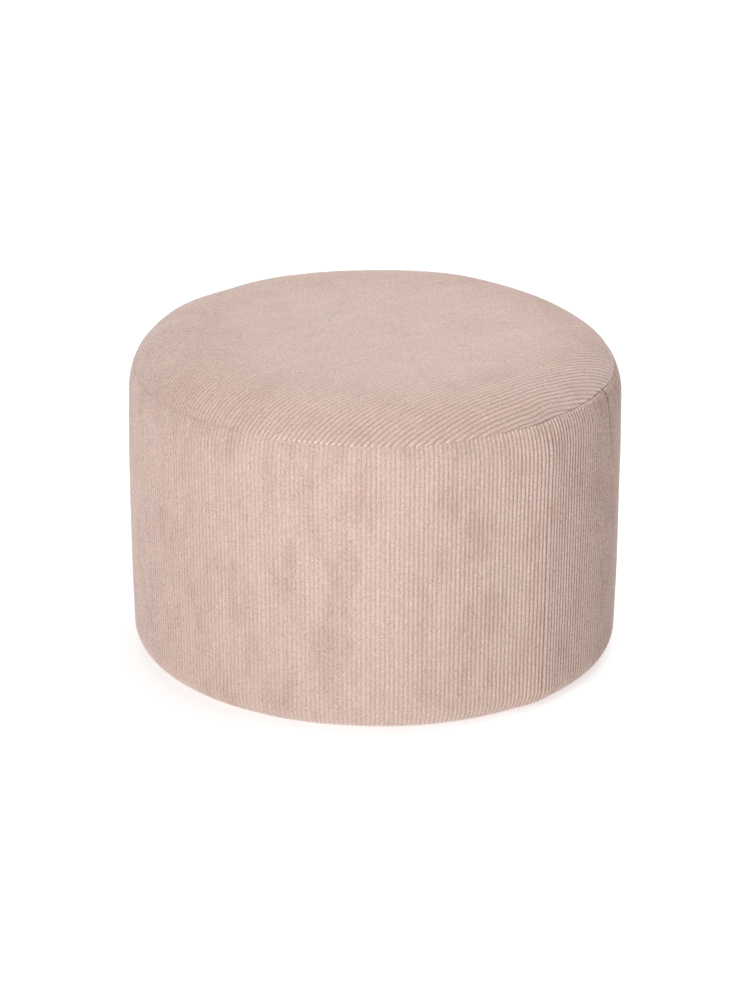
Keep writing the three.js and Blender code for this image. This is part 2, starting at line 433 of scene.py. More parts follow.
class FinishSettings(bpy.types.PropertyGroup):
    """Colours of the cloth, and of the shade and highlights painted on it."""

    pile: colour("Pile", "Crest of a wale", (0.604, 0.449, 0.392))
    crushed: colour("Crushed pile", "Patches where the pile lies over", (0.516, 0.366, 0.315))
    # Colour of the painted shade in the grooves between the wales
    groove_shadow: colour("Groove", "Ground cloth between the wales", (0.26, 0.137, 0.104))
    # Colour of the painted highlights where the cut ends of the pile catch the light at the seam
    cut_ends: colour("Cut ends", "Pile ends at the seam", (0.95, 0.86, 0.79))
    # Colour of the painted shadow in the seam round the top
    seam: colour("Seam", "Dark line in the seam round the top", (0.14, 0.09, 0.075))
    base_cloth: colour("Base cloth", "Woven cloth under the pouf", (0.50, 0.37, 0.32))
    sheen_roughness: share("Sheen roughness", "Higher spreads the whitening further", 0.45)


class StageSettings(bpy.types.PropertyGroup):
    """Floor, lights and camera."""

    floor: colour("Floor", "Plain pale floor", (0.6, 0.6, 0.6))
    camera_distance: length("Camera distance", "From the point that it looks at", 4.0)
    camera_elevation: angle("Camera elevation", "Above the horizon", 21.54)
    camera_roll: angle("Camera roll", "About its line of sight", 0.626)
    aim_x: length("Aim to the side", "What the camera looks at", 0.4 * MM)
    aim_height: length("Aim height", "What the camera looks at", 150.6 * MM)
    lens: bpy.props.FloatProperty(
        name="Lens", description="Focal length", default=140.03, subtype="DISTANCE_CAMERA"
    )
    sky: share("Sky", "Strength of the surroundings", 0.1)
    reach: length("Reach", "Radius of the floor and of the backdrop", 9.0)
    floor_glow: share("Floor glow", "Light that the lit floor gives off", 0.59)
    far_glow: share("Far glow", "Brightness of the backdrop and of the floor that meets it", 0.9)
    front: power("Front light", "From the front left, a little above the pouf", 56)
    overhead: power("Overhead light", "A wide one from above, a little to the right", 41)
    back: power("Back light", "A wide one from above and behind", 50)


# Shapes


def hump(value, centre, width):
    """1 at the centre, falling off on both sides over the width."""
    return np.exp(-(((value - centre) / width) ** 2))


def fading(distance, reach):
    """1 at no distance, falling off over the reach."""
    return np.exp(-distance / reach)


def turn_away(azimuth, centre):
    """How far an azimuth lies from a centre, the short way round, all in radians."""
    return (azimuth - centre + math.pi) % FULL_TURN - math.pi


def bell(azimuth, centre, spread):
    """1 at the centre, falling off with the spread, all in radians."""
    return hump(turn_away(azimuth, centre), 0, spread)


def sum_of_bells(table, azimuth, key):
    """The rows of a table added up at each azimuth."""
    total = np.zeros_like(azimuth)
    for row in table:
        total += row[key] * bell(azimuth, row["azimuth"], row["spread"])
    return total


def near_seam(table, azimuth, from_seam, key):
    """The rows of a table added up at each azimuth, each fading out over its reach from the seam."""
    return sum(sum_of_bells([row], azimuth, key) * hump(from_seam, 0, row["reach"]) for row in table)


def soft_noise(kind, across, along):
    """Smooth noise from about -1 to 1, times the strength of its kind."""
    places = zip((across / kind["across"]).tolist(), (along / kind["along"]).tolist())
    return kind["strength"] * np.array([noise.noise(Vector((x, y, kind["seed"]))) for x, y in places])


def placed(form, radius, azimuth, height):
    """Points at a radius, azimuth and height, with the whole form's lean."""
    lean = height / form.shoulder_height - 0.5
    x = radius * np.cos(azimuth) + form.lean_x * lean
    y = radius * np.sin(azimuth) + form.lean_y * lean
    return np.stack(np.broadcast_arrays(x, y, height), axis=-1)


def shoulder_radius(form, azimuth):
    """Radius at the top of the wall."""
    return form.shoulder_radius - form.oval * np.cos(2 * azimuth)


def shoulder(form, turn, azimuth):
    """Radius and height on the rounded shoulder: turn is 0 at the wall and a quarter at the flat."""
    right = np.cos(azimuth)
    flat = form.flat_radius + form.flat_skew * right
    inward = np.maximum(np.cos(turn), 0) ** (form.corner_power + form.corner_skew * right)
    radius = flat + (shoulder_radius(form, azimuth) - flat) * inward
    rise = np.sin(turn) ** form.rise_power
    return radius, form.shoulder_height + (form.height - form.shoulder_height) * rise


def seam_plane(form, x, y):
    """Height of the plane that the seam round the top lies in."""
    return form.seam_height + form.seam_rise_x * x + form.seam_rise_y * y


def seam_turn(form, azimuth):
    """Where on the shoulder the seam round the top lies."""
    plane = seam_plane(form, SEAM_RADIUS * np.cos(azimuth), SEAM_RADIUS * np.sin(azimuth))
    height = plane + sum_of_bells(SEAM_WANDER, azimuth, "rise")
    rise = (height - form.shoulder_height) / (form.height - form.shoulder_height)
    return np.arcsin(rise ** (1 / form.rise_power))


def crown_point(form, place, azimuth):
    """The crown from its middle, 0, to the seam, 1."""
    falling = np.clip((place - FLAT_SHARE) / (1 - FLAT_SHARE), 0, 1) ** TURN_POWER
    turn = QUARTER - (QUARTER - seam_turn(form, azimuth)) * falling
    radius, height = shoulder(form, turn, azimuth)
    flat = form.flat_radius + form.flat_skew * np.cos(azimuth)
    radius = np.where(place < FLAT_SHARE, flat * place / FLAT_SHARE, radius)
    lift = sum_of_bells(CROWN_LUMPS, azimuth, "lift") * np.sin(math.pi * falling) ** 2
    return placed(form, radius, azimuth, height + lift)


def band_point(form, level, azimuth):
    """The band from the floor, level 0, to the seam round the top, level 3."""
    ridge = form.closing_ridge * bell(azimuth, form.closing_azimuth, form.closing_spread)
    rounding = form.base_rounding + form.rounding_skew * np.cos(azimuth)
    base = form.base_rise + form.floor_clearance
    turn = np.clip(level, 0, 1) * QUARTER
    rise = np.clip(level - 1, 0, 1)

    # The wall's curve passes the radii at its foot, half way up and at its top
    wall = (
        form.base_radius * (1 - rise) * (1 - 2 * rise)
        + form.wall_radius * 4 * rise * (1 - rise)
        + shoulder_radius(form, azimuth) * rise * (2 * rise - 1)
    )
    wall_height = base + (form.shoulder_height - base) * rise
    top, top_height = shoulder(form, np.clip(level - 2, 0, 1) * seam_turn(form, azimuth), azimuth)
    foot = form.base_radius - rounding * (1 - np.sin(turn))
    foot_height = form.base_rise * (1 - np.cos(turn)) + form.floor_clearance
    radius = np.select([level < 1, level < 2], [foot, wall], top)
    height = np.select([level < 1, level < 2], [foot_height, wall_height], top_height)
    return placed(form, radius + ridge * np.clip(3 - level, 0, 1), azimuth, height)


def raised(surface, a, b, step_a, step_b, lift):
    """Points of a surface lifted along its outward normal, which is found from close neighbours."""
    along_a = surface(a + step_a, b) - surface(a - step_a, b)
    along_b = surface(a, b + step_b) - surface(a, b - step_b)
    normal = np.cross(along_a, along_b)
    normal /= np.linalg.norm(normal, axis=1, keepdims=True)
    return surface(a, b) + normal * lift[:, None]


def wale_profile(wale, roundness):
    """Height across the wales as a share of the relief: 0 in a groove and 1 on a crest."""
    from_crest = np.abs(2 * (wale % 1) - 1)
    return 1 - from_crest**roundness


def drawn_in(cloth, distance, depth):
    """How far the cloth is drawn in at a distance from a seam."""
    return depth * fading(distance, cloth.seam_reach)


def under_seam(form, point, depth):
    """The place of a turned-in edge: inwards of a point and this far under the seam's plane."""
    x = point.x * TURNED_SHARE
    y = point.y * TURNED_SHARE
    return Vector((x, y, seam_plane(form, x, y) - depth))


# Meshes


def new_mesh(name, bm):
    """A mesh of what was modelled."""
    mesh = bpy.data.meshes.new(name)
    bm.to_mesh(mesh)
    bm.free()
    return mesh


def new_object(name, data):
    """An object in the scene, at the origin."""
    made = bpy.data.objects.new(name, data)
    bpy.context.scene.collection.objects.link(made)
    return made


def only_verts(made):
    """The vertices of what an operator made."""
    return [item for item in made["geom"] if isinstance(item, bmesh.types.BMVert)]


def grid_mesh(name, columns, rows):
    """A grid, with the column and row of each of its vertices."""
    bm = bmesh.new()
    bmesh.ops.create_grid(bm, x_segments=columns, y_segments=rows, size=0.5)
    mesh = new_mesh(name, bm)
    flat = np.empty(3 * len(mesh.vertices), np.float32)
    mesh.vertices.foreach_get("co", flat)
    flat = flat.reshape(-1, 3)
    column = np.rint((flat[:, 0] + 0.5) * columns).astype(int)
    row = np.rint((flat[:, 1] + 0.5) * rows).astype(int)
    return mesh, column, row


def fill_mesh(mesh, points, cut, marks):
    """Moves the vertices to their points, and adds the panel's marks and its own map. The map is
    counted in wales across, and in the same unit along."""
    mesh.vertices.foreach_set("co", points.astype(np.float32).ravel())
    for name, value in marks.items():
        mesh.attributes.new(name, "FLOAT", "POINT").data.foreach_set("value", value.astype(np.float32))
    corner = np.empty(len(mesh.loops), np.int32)
    mesh.loops.foreach_get("vertex_index", corner)
    uv = np.stack([cut.wale, cut.along / cut.pitch], axis=-1)[corner]
    mesh.uv_layers.new(name=WALES_MAP).uv.foreach_set("vector", uv.astype(np.float32).ravel())


def close_form(mesh, tucks):
    """Merges what meets, turns each open edge in and closes it with one face.

    tucks holds, for each open edge from the lowest up, the function that moves a vertex in."""
    bm = bmesh.new()
    bm.from_mesh(mesh)
    bmesh.ops.remove_doubles(bm, verts=bm.verts, dist=MERGE_DISTANCE)
    for face in bm.faces:
        face.smooth = True
    open_edges = [edge for edge in bm.edges if edge.is_boundary]
    middle = sum(edge.verts[0].co.z for edge in open_edges) / len(open_edges)
    for index, tuck in enumerate(tucks):
        if len(tucks) == 1:
            rim = open_edges
        else:
            rim = [edge for edge in open_edges if (edge.verts[0].co.z > middle) == (index == 1)]
        made = bmesh.ops.extrude_edge_only(bm, edges=rim)
        for vert in only_verts(made):
            vert.co = tuck(vert.co)
        edges = [item for item in made["geom"] if isinstance(item, bmesh.types.BMEdge)]
        inner = [edge for edge in edges if edge.is_boundary]
        for edge in rim + inner:
            edge.smooth = False
        bmesh.ops.holes_fill(bm, edges=inner, sides=0)
    bmesh.ops.recalc_face_normals(bm, faces=bm.faces)
    bm.to_mesh(mesh)
    bm.free()


def add_piece(mesh, material, node):
    """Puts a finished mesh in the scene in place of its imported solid."""
    piece = new_object(mesh.name, mesh)
    mesh.materials.append(material)
    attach(piece, BODY)
    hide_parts(node)
    return piece


def wale_lines(cloth_wales):
    """Places of all the lines across a panel, counted in wales."""
    lines = np.arange(cloth_wales * len(WALE_PHASES) + 1)
    phases = np.array(WALE_PHASES)
    return lines // len(phases) + phases[lines % len(phases)]


def front_lengths(form, surface, places):
    """Length of cloth up to each place along the outline of the pouf's front."""
    points = surface(form, places, np.full_like(places, -QUARTER))
    steps = np.linalg.norm(np.diff(points, axis=0), axis=1)
    return np.concatenate([[0], np.cumsum(steps)])


def wale_relief(cloth, tables, cut):
    """Groove to crest of the wales of a panel."""
    noises = tables["noises"]
    unequal = soft_noise(noises["relief"], cut.wale, cut.along)
    unequal += soft_noise(noises["broad_relief"], cut.across, cut.along)
    gain = near_seam(tables["reliefs"], cut.azimuth, cut.from_seam, "gain")
    return cloth.wale_relief * (1 + cloth.unequal * unequal + gain) * (1 - cut.pressed)


def slow_lift(cloth, tables, cut):
    """The swell of the filling under a panel, less what the seam round the top draws in."""
    swell = cloth.unevenness * soft_noise(tables["noises"]["swell"], cut.across, cut.along)
    depth = cloth.seam_depth + sum_of_bells(SEAM_NOTCHES, cut.azimuth, "depth")
    return swell * np.minimum(cut.from_seam / SWELL_START, 1) - drawn_in(cloth, cut.from_seam, depth)


def panel_marks(cloth, tables, cut):
    """What the material of a panel reads at each vertex."""
    shade = cloth.groove_shade + sum_of_bells(tables["shades"], cut.azimuth, "shade")
    return {
        "groove_shade": shade * (1 - cut.pressed),
        "cut_ends": near_seam(tables["glints"], cut.azimuth, cut.from_seam, "strength"),
        "seam_shade": near_seam(SEAM_SHADES, cut.azimuth, cut.from_seam, "shade"),
        "nap": near_seam(tables["painted_shading"], cut.azimuth, cut.from_seam, "tone"),
    }


def top_azimuth(cloth, across, along):
    """Azimuth on the pouf of a point in the flat round of cloth."""
    return np.arctan2(along, across) + cloth.top_direction - QUARTER


def cut_round(cloth, wale, row, radius):
    """Where the vertices lie in the flat round of cloth, and how far its middle is pressed."""
    across = (wale / cloth.top_wales * 2 - 1) * radius
    step = 2 * row / TOP_ROWS - 1
    half_length = np.sqrt(np.maximum(radius**2 - across**2, 0))
    along = half_length * np.sign(step) * (1 - (1 - np.abs(step)) ** TOP_CROWDING)
    from_middle = np.hypot(across, along)
    return SimpleNamespace(
        pitch=2 * radius / cloth.top_wales,
        wale=wale,
        across=across,
        along=along,
        azimuth=top_azimuth(cloth, across, along),
        from_seam=np.maximum(radius - from_middle, 0),
        pressed=cloth.middle_wear * np.exp(-((from_middle / cloth.middle_reach) ** MIDDLE_POWER)),
    )


def top_lift(cloth, cut):
    """How far the top panel is raised. Half of a wale's height is below the form."""
    relief = wale_relief(cloth, TOP_TABLES, cut)
    relief *= 1 - TOP_END_PRESS * fading(cut.from_seam, cloth.seam_reach)
    lift = relief * (wale_profile(cut.wale, cloth.top_roundness) - 0.5)
    return lift + slow_lift(cloth, TOP_TABLES, cut)


def top_stray(cloth, cut):
    """How far the wales of the top panel stray sideways, held at the seam."""
    stray = soft_noise(TOP_NOISES["stray"], cut.wale, cut.along)
    stray += soft_noise(TOP_NOISES["fine_stray"], cut.wale, cut.along)
    return cloth.wobble * stray * (1 - fading(cut.from_seam, TOP_STRAY_START))


def gather_top(cloth, across, along, radius):
    """Moves points of the flat round of cloth in the gathers beside the seam, and says the dip."""
    far = np.maximum(np.hypot(across, along), MM)
    azimuth = top_azimuth(cloth, across, along)
    inward = radius - far
    push = np.zeros_like(far)
    dip = np.zeros_like(far)
    for row in TOP_GATHERS:
        away = turn_away(azimuth, row["azimuth"])
        aside = (away * far - row["slant"] * inward) / row["width"]
        strength = np.exp(-aside**2 / 2) * fading(inward, row["reach"])
        push -= row["push"] * aside * strength * (1 - fading(inward, GATHER_START))
        dip += row["dip"] * strength

    # No point leaves the round of cloth
    scale = (far + push) / far
    scale *= np.minimum(1, radius / np.maximum(scale * np.hypot(across, along), MM))
    return across * scale, along * scale, dip


def make_top_panel(form, cloth, material):
    """The round of corduroy over the crown, its wales parallel in the flat cloth."""
    lines = wale_lines(cloth.top_wales)
    mesh, column, row = grid_mesh("top_panel_corduroy", len(lines) - 1, TOP_ROWS)
    places = np.linspace(0, 1, OUTLINE_DIVISIONS + 1)
    lengths = front_lengths(form, crown_point, places)
    cut = cut_round(cloth, lines[column], row, lengths[-1])

    def lay_over(a, b):
        """From the flat round of cloth to the crown: a point keeps its distance from the middle."""
        return crown_point(form, np.interp(np.hypot(a, b), lengths, places), top_azimuth(cloth, a, b))

    strayed = cut.across + top_stray(cloth, cut)
    across, along, dip = gather_top(cloth, strayed, cut.along, lengths[-1])
    points = raised(lay_over, across, along, SLOPE_STEP, SLOPE_STEP, top_lift(cloth, cut) - dip)
    fill_mesh(mesh, points, cut, panel_marks(cloth, TOP_TABLES, cut))
    close_form(mesh, [lambda point: under_seam(form, point, TOP_TURNED_DEPTH)])
    piece = add_piece(mesh, material, "top_panel")


def band_levels():
    """The levels of the band's rows, from the floor up."""
    levels = [0.0]
    for row in BAND_STRETCHES:
        steps = np.arange(1, row["rows"] + 1) / row["rows"]
        shares = 1 - (1 - steps) ** row["crowding"]
        levels.extend(row["start"] + (row["end"] - row["start"]) * shares)
    return np.array(levels)


def crease_depth(cut, radius):
    """How far the short creases under the seam draw the band in."""
    total = np.zeros_like(cut.azimuth)
    for row in BAND_CREASES:
        aside = turn_away(cut.azimuth, row["azimuth"]) * radius - row["lean"] * cut.from_seam
        total += row["depth"] * hump(aside, 0, row["width"]) * hump(cut.from_seam, 0, row["reach"])
    return total


def closing_seam_depth(cut):
    """How far the band is drawn in at its closing seam and at the groove after the wide wale."""
    strain = hump(cut.from_seam, STRAIN_BELOW, STRAIN_SPREAD)
    seam = (CLOSING_DEPTH + CLOSING_STRAIN * strain) * hump(cut.from_end, 0, CLOSING_WIDTH)
    return seam + NEXT_GROOVE_DEPTH * strain * hump(cut.to_right, NEXT_GROOVE_WALE, NEXT_GROOVE_WALES)


def cut_strip(form, cloth, wale, along, height):
    """Where the vertices lie in the strip of cloth round the wall. The first wale right of the closing
    seam is a wide one, and the next few are closer for it."""
    pitch = FULL_TURN * form.wall_radius / cloth.band_wales
    widened = cloth.closing_width * (1 - fading(wale, WIDE_WALE_START)) * fading(wale, WIDE_WALE_FADE)
    azimuth = form.closing_azimuth + FULL_TURN * (wale + widened) / cloth.band_wales
    return SimpleNamespace(
        pitch=pitch,
        wale=wale,
        across=azimuth * form.wall_radius,
        along=along,
        azimuth=azimuth,
        from_seam=height - along,
        pressed=0,
        from_end=np.minimum(wale, cloth.band_wales - wale) * pitch,
        to_right=np.where(wale < cloth.band_wales / 2, wale, wale - cloth.band_wales),
    )


def band_lift(form, cloth, cut):
    """How far the side band is raised. Half of a wale's height is below the form."""
    patch = hump(cut.to_right, PATCH_WALE, PATCH_WALES) * hump(cut.from_seam, 0, PATCH_REACH)
    profile = wale_profile(cut.wale, cloth.band_roundness)
    profile += (PATCH_HEIGHT - profile) * patch
    relief = wale_relief(cloth, BAND_TABLES, cut) * (1 - fading(cut.along, FOOT_START))
    relief *= 1 - BAND_END_PRESS * fading(cut.from_seam, cloth.seam_reach)
    lift = relief * (profile - 0.5) + slow_lift(cloth, BAND_TABLES, cut)
    lift -= drawn_in(cloth, cut.along, cloth.base_seam_depth)
    lift -= closing_seam_depth(cut)
    return lift - crease_depth(cut, form.wall_radius)


def band_stray(cloth, cut):
    """How far the wales of the side band stray sideways, held by the seams all round it."""
    stray = soft_noise(BAND_NOISES["stray"], cut.across, cut.along)
    stray += soft_noise(BAND_NOISES["fine_stray"], cut.wale, cut.along)
    slack = hump(cut.to_right, 0, SLACK_WALES) * hump(cut.along, SLACK_HEIGHT, SLACK_SPREAD)
    stray = cloth.wobble * stray + slack * soft_noise(BAND_NOISES["slack"], cut.wale, cut.along)
    stray *= 1 - fading(cut.from_end, CLOSING_STRAY_START)
    return stray * (1 - fading(cut.from_seam, cloth.seam_reach)) * (1 - fading(cut.along, FOOT_START))


def make_side_band(form, cloth, material):
    """The strip of corduroy round the wall, its two ends meeting in the closing seam."""
    lines = wale_lines(cloth.band_wales)
    levels = band_levels()
    mesh, column, row = grid_mesh("side_band_corduroy", len(lines) - 1, len(levels) - 1)
    lengths = front_lengths(form, band_point, levels)
    cut = cut_strip(form, cloth, lines[column], lengths[row], lengths[-1])

    def wrap(a, b):
        """From azimuth and level to the band."""
        return band_point(form, np.clip(b, 0, 3), a)

    azimuth = cut.azimuth + band_stray(cloth, cut) / form.wall_radius
    lift = band_lift(form, cloth, cut)
    points = raised(wrap, azimuth, levels[row], LEVEL_STEP, LEVEL_STEP, lift)
    fill_mesh(mesh, points, cut, panel_marks(cloth, BAND_TABLES, cut))

    def over_base(point):
        """The turned-in lower edge, in the recess of the base panel."""
        inside = Vector((point.x, point.y, 0)).normalized() * (BASE_HIGH.x + FOOT_TURNED_GAP)
        return Vector((inside.x, inside.y, BASE_HIGH.z + FOOT_TURNED_RISE))

    close_form(mesh, [over_base, lambda point: under_seam(form, point, BAND_TURNED_DEPTH)])
    piece = add_piece(mesh, material, "side_band")


def make_base_panel(material):
    """The round of woven cloth that the pouf rests on, its lower edge rounded."""
    bm = bmesh.new()
    bmesh.ops.create_circle(bm, cap_ends=True, radius=BASE_HIGH.x, segments=BASE_SEGMENTS)
    for vert in only_verts(bmesh.ops.extrude_face_region(bm, geom=list(bm.faces))):
        vert.co.z = BASE_HIGH.z
    lower = [side for side in bm.edges if max(vert.co.z for vert in side.verts) < MM]
    bmesh.ops.bevel(
        bm,
        geom=lower,
        offset=BASE_BEVEL,
        offset_type="OFFSET",
        affect="EDGES",
        segments=BASE_BEVEL_SEGMENTS,
        profile=0.5,
        material=-1,
    )
    bmesh.ops.recalc_face_normals(bm, faces=bm.faces)
    add_piece(new_mesh("base_panel_cloth", bm), material, "base_panel")


# Materials


def new_material(name):
    """An empty node material with its output, and the Principled shader that feeds it."""
    material = bpy.data.materials.new(name)
    material.use_nodes = True
    tree = material.node_tree
    tree.nodes.clear()
    output = tree.nodes.new("ShaderNodeOutputMaterial")
    shader = tree.nodes.new("ShaderNodeBsdfPrincipled")
    tree.links.new(shader.outputs["BSDF"], output.inputs["Surface"])
    return material, tree, shader


def set_values(node, values):
    """Sets a node's own sockets."""
    for name, value in values.items():
        node.inputs[name].default_value = value


def add_node(tree, kind, links=None, values=None, **settings):
    """Adds a node, sets its options and values, and links its inputs."""
    node = tree.nodes.new(kind)
    for name, value in settings.items():
        setattr(node, name, value)
    set_values(node, values or {})
    for name, source in (links or {}).items():
        tree.links.new(source, node.inputs[name])
    return node


def stretched(tree, vector, scale):
    """A vector scaled along its axes."""
    mapping = add_node(tree, "ShaderNodeMapping", {"Vector": vector}, {"Scale": scale})
    return mapping.outputs["Vector"]


def attribute(tree, name):
    """A number that the mesh carries at its vertices."""
    return add_node(tree, "ShaderNodeAttribute", attribute_name=name).outputs["Fac"]


def math_node(tree, operation, first, second=None):
    """One step of arithmetic on numbers or sockets."""
    node = add_node(tree, "ShaderNodeMath", operation=operation)
    for index, value in enumerate((first, second)):
        if isinstance(value, (int, float)):
            node.inputs[index].default_value = value
        elif value is not None:
            tree.links.new(value, node.inputs[index])
    return node.outputs[0]


def noise_node(tree, vector, scale, detail, roughness=0.5):
    """Smooth noise from 0 to 1."""
    return add_node(
        tree,
        "ShaderNodeTexNoise",
        {"Vector": vector},
        {"Scale": scale, "Detail": detail, "Roughness": roughness},
    ).outputs["Fac"]


def ramp(tree, value, low, high, start=0.0, end=1.0):
    """Maps a value smoothly from low..high to start..end."""
    return add_node(
        tree,
        "ShaderNodeMapRange",
        {"Value": value},
        {"From Min": low, "From Max": high, "To Min": start, "To Max": end},
        interpolation_type="SMOOTHSTEP",
    ).outputs["Result"]


def swing(tree, value, amount):
    """Turns smooth noise, mostly from 0.3 to 0.7, into a swing by the amount to both sides of 0."""
    return ramp(tree, value, 0.3, 0.7, -amount, amount)


def roughen(tree, shader, height, values):
    """Gives a shader the fine relief of a height socket."""
    bump = add_node(tree, "ShaderNodeBump", {"Height": height}, values)
    tree.links.new(bump.outputs["Normal"], shader.inputs["Normal"])


def mix_colour(tree, factor, first, second):
    """Mixes two colours or sockets by a factor socket."""
    node = add_node(tree, "ShaderNodeMix", data_type="RGBA")
    tree.links.new(factor, node.inputs["Factor"])

    # The colour sockets of a Mix node are found by their place, because other kinds share their names
    for index, value in ((6, first), (7, second)):
        if isinstance(value, bpy.types.NodeSocket):
            tree.links.new(value, node.inputs[index])
        else:
            node.inputs[index].default_value = (*value, 1)
    return node.outputs[2]


def crushed_pile(tree, position, finish, panel):
    """The colour of the pile, with patches where hands have pushed it over."""
    spread = stretched(tree, position, panel["patch_shape"])
    clouds = noise_node(tree, spread, scale=26, detail=5, roughness=0.62)
    patches = ramp(tree, clouds, low=0.44, high=0.68)
    crushed = math_node(tree, "MULTIPLY", patches, panel["patches"])
    return mix_colour(tree, crushed, finish.pile, finish.crushed)


def own_tone(tree, own, panel):
    """The brightness of a wale, from its own number, with the painted light and shade added."""
    darkest = (1 - WALE_TONE) * panel["tone"]
    brightest = (1 + WALE_TONE) * panel["tone"]
    return math_node(tree, "ADD", ramp(tree, own, 0, 1, darkest, brightest), attribute(tree, "nap"))


def painted_seam_shadow(tree, colour, groove_shadow, finish):
    """The painted shadow of the seam round the top, a dark line that is fainter on the crests."""
    dots = ramp(tree, groove_shadow, 0, 1, start=0.55, end=0.95)
    dotted = math_node(tree, "MULTIPLY", attribute(tree, "seam_shade"), dots)
    return mix_colour(tree, dotted, colour, finish.seam)


def cut_ends(tree, colour, from_crest, own, finish):
    """Painted highlights on the cut ends of the crests at the seam, more of them on some wales than on
    others.
    """
    part = ramp(tree, own, 0, 1, start=0.35, end=1)
    uneven = math_node(tree, "MULTIPLY", attribute(tree, "cut_ends"), part)
    crest = ramp(tree, from_crest, low=0.06, high=0.24, start=1, end=0)
    return mix_colour(tree, math_node(tree, "MULTIPLY", uneven, crest), colour, finish.cut_ends)


def corduroy_material(name, finish, panel):
    """Soft cotton pile: crests and grooves with painted shade, crushed patches, fibre speckle, painted
    seam shadow, end highlights and light and shade, and a dry sheen.
    """
    material, tree, shader = new_material(name)
    wales = add_node(tree, "ShaderNodeUVMap", uv_map=WALES_MAP).outputs["UV"]
    across = add_node(tree, "ShaderNodeSeparateXYZ", {"Vector": wales}).outputs["X"]
    position = add_node(tree, "ShaderNodeTexCoord").outputs["Object"]

    # 0 on a crest and 1 in a groove, where shade is painted into the colour
    phase = math_node(tree, "FRACT", across)
    from_crest = math_node(tree, "ABSOLUTE", math_node(tree, "SUBTRACT", phase, 0.5))
    groove_shadow = ramp(tree, from_crest, panel["groove_start"], 0.5)
    shade = math_node(tree, "MULTIPLY", groove_shadow, attribute(tree, "groove_shade"))
    shaded = mix_colour(tree, shade, crushed_pile(tree, position, finish, panel), finish.groove_shadow)

    # Speckle of the fibres: streaks along the wales, and the ends of the pile
    fibres = noise_node(tree, stretched(tree, wales, FIBRE_STREAKS), scale=1, detail=3, roughness=0.7)
    speckle = noise_node(tree, position, scale=1000, detail=2, roughness=0.6)
    streaks = swing(tree, fibres, FIBRE_GRAIN * panel["grain"])
    grain = math_node(tree, "ADD", streaks, swing(tree, speckle, SPECKLE_GRAIN * panel["grain"]))
    relief = math_node(tree, "ADD", fibres, speckle)

    # A number of its own for each wale, from 0 to 1
    number = math_node(tree, "FLOOR", across)
    scattered = add_node(tree, "ShaderNodeTexWhiteNoise", {"W": number}, noise_dimensions="1D")
    own = scattered.outputs["Value"]
    value = math_node(tree, "ADD", own_tone(tree, own, panel), grain)
    links = {"Color": shaded, "Value": value}
    saturation = {"Saturation": panel["saturation"]}
    bright = add_node(tree, "ShaderNodeHueSaturation", links, saturation).outputs["Color"]
    lined = painted_seam_shadow(tree, bright, groove_shadow, finish)
    tree.links.new(cut_ends(tree, lined, from_crest, own, finish), shader.inputs["Base Color"])
    roughen(tree, shader, relief, {"Strength": 0.35, "Distance": 0.4 * MM})
    pile = {"Roughness": 0.95, "Specular IOR Level": 0.15, "Sheen Tint": WHITE}
    sheen = {"Sheen Weight": panel["sheen"], "Sheen Roughness": finish.sheen_roughness}
    set_values(shader, {**pile, **sheen})
    return material


def base_material(finish):
    """Plain woven cloth: threads over and under each other, 0.9 mm apart."""
    material, tree, shader = new_material("base_panel_weave")
    position = add_node(tree, "ShaderNodeTexCoord").outputs["Object"]
    waves = []
    for direction in ("X", "Y"):
        wave = add_node(
            tree,
            "ShaderNodeTexWave",
            {"Vector": position},
            {"Scale": 350, "Distortion": 0.4, "Detail": 1},
            wave_type="BANDS",
            bands_direction=direction,
        )
        waves.append(wave.outputs["Fac"])
    weave = math_node(tree, "MULTIPLY", waves[0], waves[1])
    dust = swing(tree, noise_node(tree, position, scale=40, detail=4), 0.05)
    tone = math_node(tree, "ADD", ramp(tree, weave, 0, 1, start=0.86, end=1.06), dust)
    cloth = {"Color": (*finish.base_cloth, 1)}
    bright = add_node(tree, "ShaderNodeHueSaturation", {"Value": tone}, cloth)
    tree.links.new(bright.outputs["Color"], shader.inputs["Base Color"])
    roughen(tree, shader, weave, {"Strength": 0.5, "Distance": 0.2 * MM})
    set_values(shader, {"Roughness": 0.9, "Specular IOR Level": 0.2})
    return material


# Stage


def add_stage(name, mesh, material):
    """Puts a stage surface in the scene."""
    mesh.materials.append(material)
    surface = new_object(name, mesh)
    return surface


def make_floor(stage):
    """A wide round of pale floor that stays pale beyond the lights' reach."""
    bm = bmesh.new()
    bmesh.ops.create_circle(bm, cap_ends=True, radius=stage.reach, segments=STAGE_SEGMENTS)
    mesh = new_mesh("floor", bm)
    material, tree, shader = new_material("floor_paint")
    position = add_node(tree, "ShaderNodeTexCoord").outputs["Object"]
    away = add_node(tree, "ShaderNodeVectorMath", {0: position}, operation="LENGTH").outputs["Value"]
    start = GLOW_START * stage.reach
    end = GLOW_END * stage.reach
    glow = ramp(tree, away, start, end, stage.floor_glow, stage.far_glow)
    tree.links.new(glow, shader.inputs["Emission Strength"])
    paint = {"Base Color": (*stage.floor, 1), "Roughness": 0.9, "Specular IOR Level": 0.1}
    set_values(shader, {**paint, "Emission Color": WHITE})
    add_stage("floor", mesh, material)


